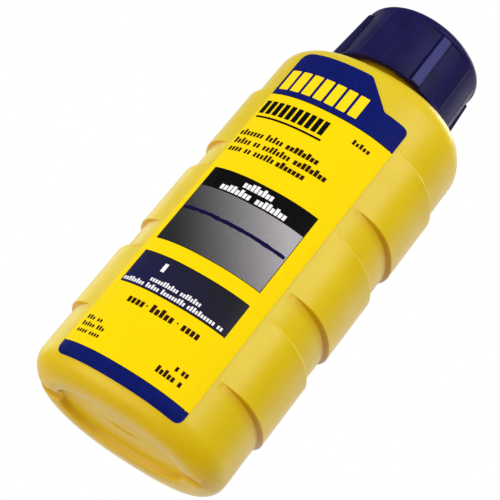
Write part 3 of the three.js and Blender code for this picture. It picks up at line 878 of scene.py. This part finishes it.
# Back label.
label_piece("back_film", [block(-LABEL_HALF, LABEL_HALF, BACK_BOTTOM_Z, BACK_TOP_Z, 2.2)],
            yellow_film, FILM_LIFT, FILM_THICK, back=True, replaces=("back_label",))
label_piece("back_header", [block(-15.8, 15.8, 84.5, 95.5, 1.0)], blue_ink, back=True)
paragraph = [[6, 3, 8, 4, 5], [4, 7, 2, 6, 6], [8, 5, 5, 4], [3, 6, 7, 5, 3], [7, 4, 9]]
back_rows = [(-15.4, first_z - row * 3.1, 1.5, words, 0.98)
             for first_z in (78.6, 60.7) for row, words in enumerate(paragraph)]
label_piece("back_lines", print_rows(back_rows), brown_ink, back=True)
label_piece("back_patch", [block(-15.0, 15.0, 14.5, 36.0, 0.8)], white_ink, back=True)
STRIPE_UNITS = (1, 2, 1, 1, 3, 1, 2, 2, 1, 3, 1, 1, 2, 1, 3, 2, 1, 1, 2)
STRIPE_UNIT, STRIPE_GAP = 0.5, 0.55
stripes, x = [], -12.5
for units in STRIPE_UNITS:
    stripes.append(block(x, x + units * STRIPE_UNIT, 19.0, 33.5))
    x += units * STRIPE_UNIT + STRIPE_GAP
label_piece("back_stripes", stripes, black_ink, TOP_INK_LIFT, back=True)

# ------------------------------------------------------------ stage and camera

FLOOR_HALF = 1.5
floor_mesh = bmesh.new()
bmesh.ops.create_grid(floor_mesh, x_segments=4, y_segments=4, size=FLOOR_HALF)
floor_data = bpy.data.meshes.new("studio_floor")
floor_mesh.to_mesh(floor_data)
floor_mesh.free()
floor_data.materials.append(studio_card())
floor = bpy.data.objects.new("studio_floor", floor_data)
bpy.context.scene.collection.objects.link(floor)
for reach in ("visible_diffuse", "visible_glossy", "visible_transmission", "visible_shadow"):
    setattr(floor, reach, False)

CAMERA_AZIMUTH, CAMERA_ELEVATION, CAMERA_ROLL = 23.6, -23.8, 38.85   # degrees
CAMERA_DISTANCE, CAMERA_LENS = 0.395, 117.2                          # metres, millimetres
CAMERA_TARGET = Vector((-0.0034, 0.0, 0.0571))


def outward(azimuth, elevation):
    a, e = math.radians(azimuth), math.radians(elevation)
    return Vector((math.sin(a) * math.cos(e), -math.cos(a) * math.cos(e), math.sin(e)))


def facing(spot, direction):
    """A place to stand and a direction to look in, as a matrix."""
    turned = direction.to_track_quat("-Z", "Y").to_matrix().to_4x4()
    return Matrix.Translation(spot) @ turned


camera_data = bpy.data.cameras.new("view_camera")
camera_data.lens = CAMERA_LENS
camera_data.clip_start = 0.01
camera = bpy.data.objects.new("view_camera", camera_data)
away = outward(CAMERA_AZIMUTH, CAMERA_ELEVATION)
roll = Matrix.Rotation(math.radians(CAMERA_ROLL), 4, "Z")
camera.matrix_world = facing(CAMERA_TARGET + away * CAMERA_DISTANCE, -away) @ roll
bpy.context.scene.collection.objects.link(camera)
bpy.context.scene.camera = camera


LIT_MIDDLE = Vector((0, 0, 0.065))


def soft_light(name, azimuth, elevation, distance, size, power, colour="#FFFFFF"):
    data = bpy.data.lights.new(name, "AREA")
    data.size = size
    data.energy = power
    data.color = hex_colour(colour)[:3]
    light = bpy.data.objects.new(name, data)
    spot = LIT_MIDDLE + outward(azimuth, elevation) * distance
    light.matrix_world = facing(spot, LIT_MIDDLE - spot)
    bpy.context.scene.collection.objects.link(light)


soft_light("key_softbox", 41, 22, 0.6, 0.4, 1.2)
soft_light("left_softbox", -105, 8, 0.8, 0.5, 1.1, "#F0FFF2")
soft_light("top_softbox", 160, 64, 0.7, 0.22, 0.8)
soft_light("low_softbox", -60, -62, 0.9, 0.5, 2.2, "#FFDFB4")

# Studio surround: white to the eye. Its fill is white from above and in front
# and warmer from below and behind, as off a wooden bench; what is mirrored is a
# bright backdrop behind and overhead and a dim room in front.
FILL_FROM = Vector((-0.5, -0.75, 0.4)).normalized()
FILL_LEAST, FILL_MOST = 0.3, 1.08
BACKDROP = Vector((0, 1, 0.35)).normalized()
REFLECTED_FRONT, REFLECTED_BACK = 0.05, 1.1
world = bpy.data.worlds.new("studio_surround")
world.use_nodes = True
world.cycles.sampling_method = "NONE"
sky = world.node_tree
sky.nodes.clear()


def sky_range(direction, low, high, least, most):
    """A value that grows from least to most as a ray turns towards a direction."""
    along = add_node(sky, "ShaderNodeVectorMath", {0: heading, 1: direction},
                     operation="DOT_PRODUCT")
    return spread(sky, along.outputs["Value"], low, high, least, most)


heading = add_node(sky, "ShaderNodeTexCoord").outputs["Generated"]
rays = add_node(sky, "ShaderNodeLightPath")
fill = sky_range(FILL_FROM, -1.0, 1.0, FILL_LEAST - 1, FILL_MOST - 1)
mirrored = sky_range(BACKDROP, 0.3, 0.85, REFLECTED_FRONT - 1, REFLECTED_BACK - 1)
strength = combine(sky, "MULTIPLY_ADD", rays.outputs["Is Diffuse Ray"], fill, 1.0)
strength = combine(sky, "MULTIPLY_ADD", rays.outputs["Is Glossy Ray"], mirrored, strength)
fill_tint = blend_colours(sky, sky_range(FILL_FROM, -0.7, 0.3, 0.0, 1.0), "#FFDAA2", "#FFFFFF")
tint = blend_colours(sky, rays.outputs["Is Diffuse Ray"], "#FFFFFF", fill_tint)
glow = add_node(sky, "ShaderNodeBackground", {"Color": tint, "Strength": strength})
add_node(sky, "ShaderNodeOutputWorld", {"Surface": glow.outputs["Background"]})
bpy.context.scene.world = world
bpy.context.scene.view_settings.view_transform = "Standard"
bpy.context.scene.view_settings.look = "None"
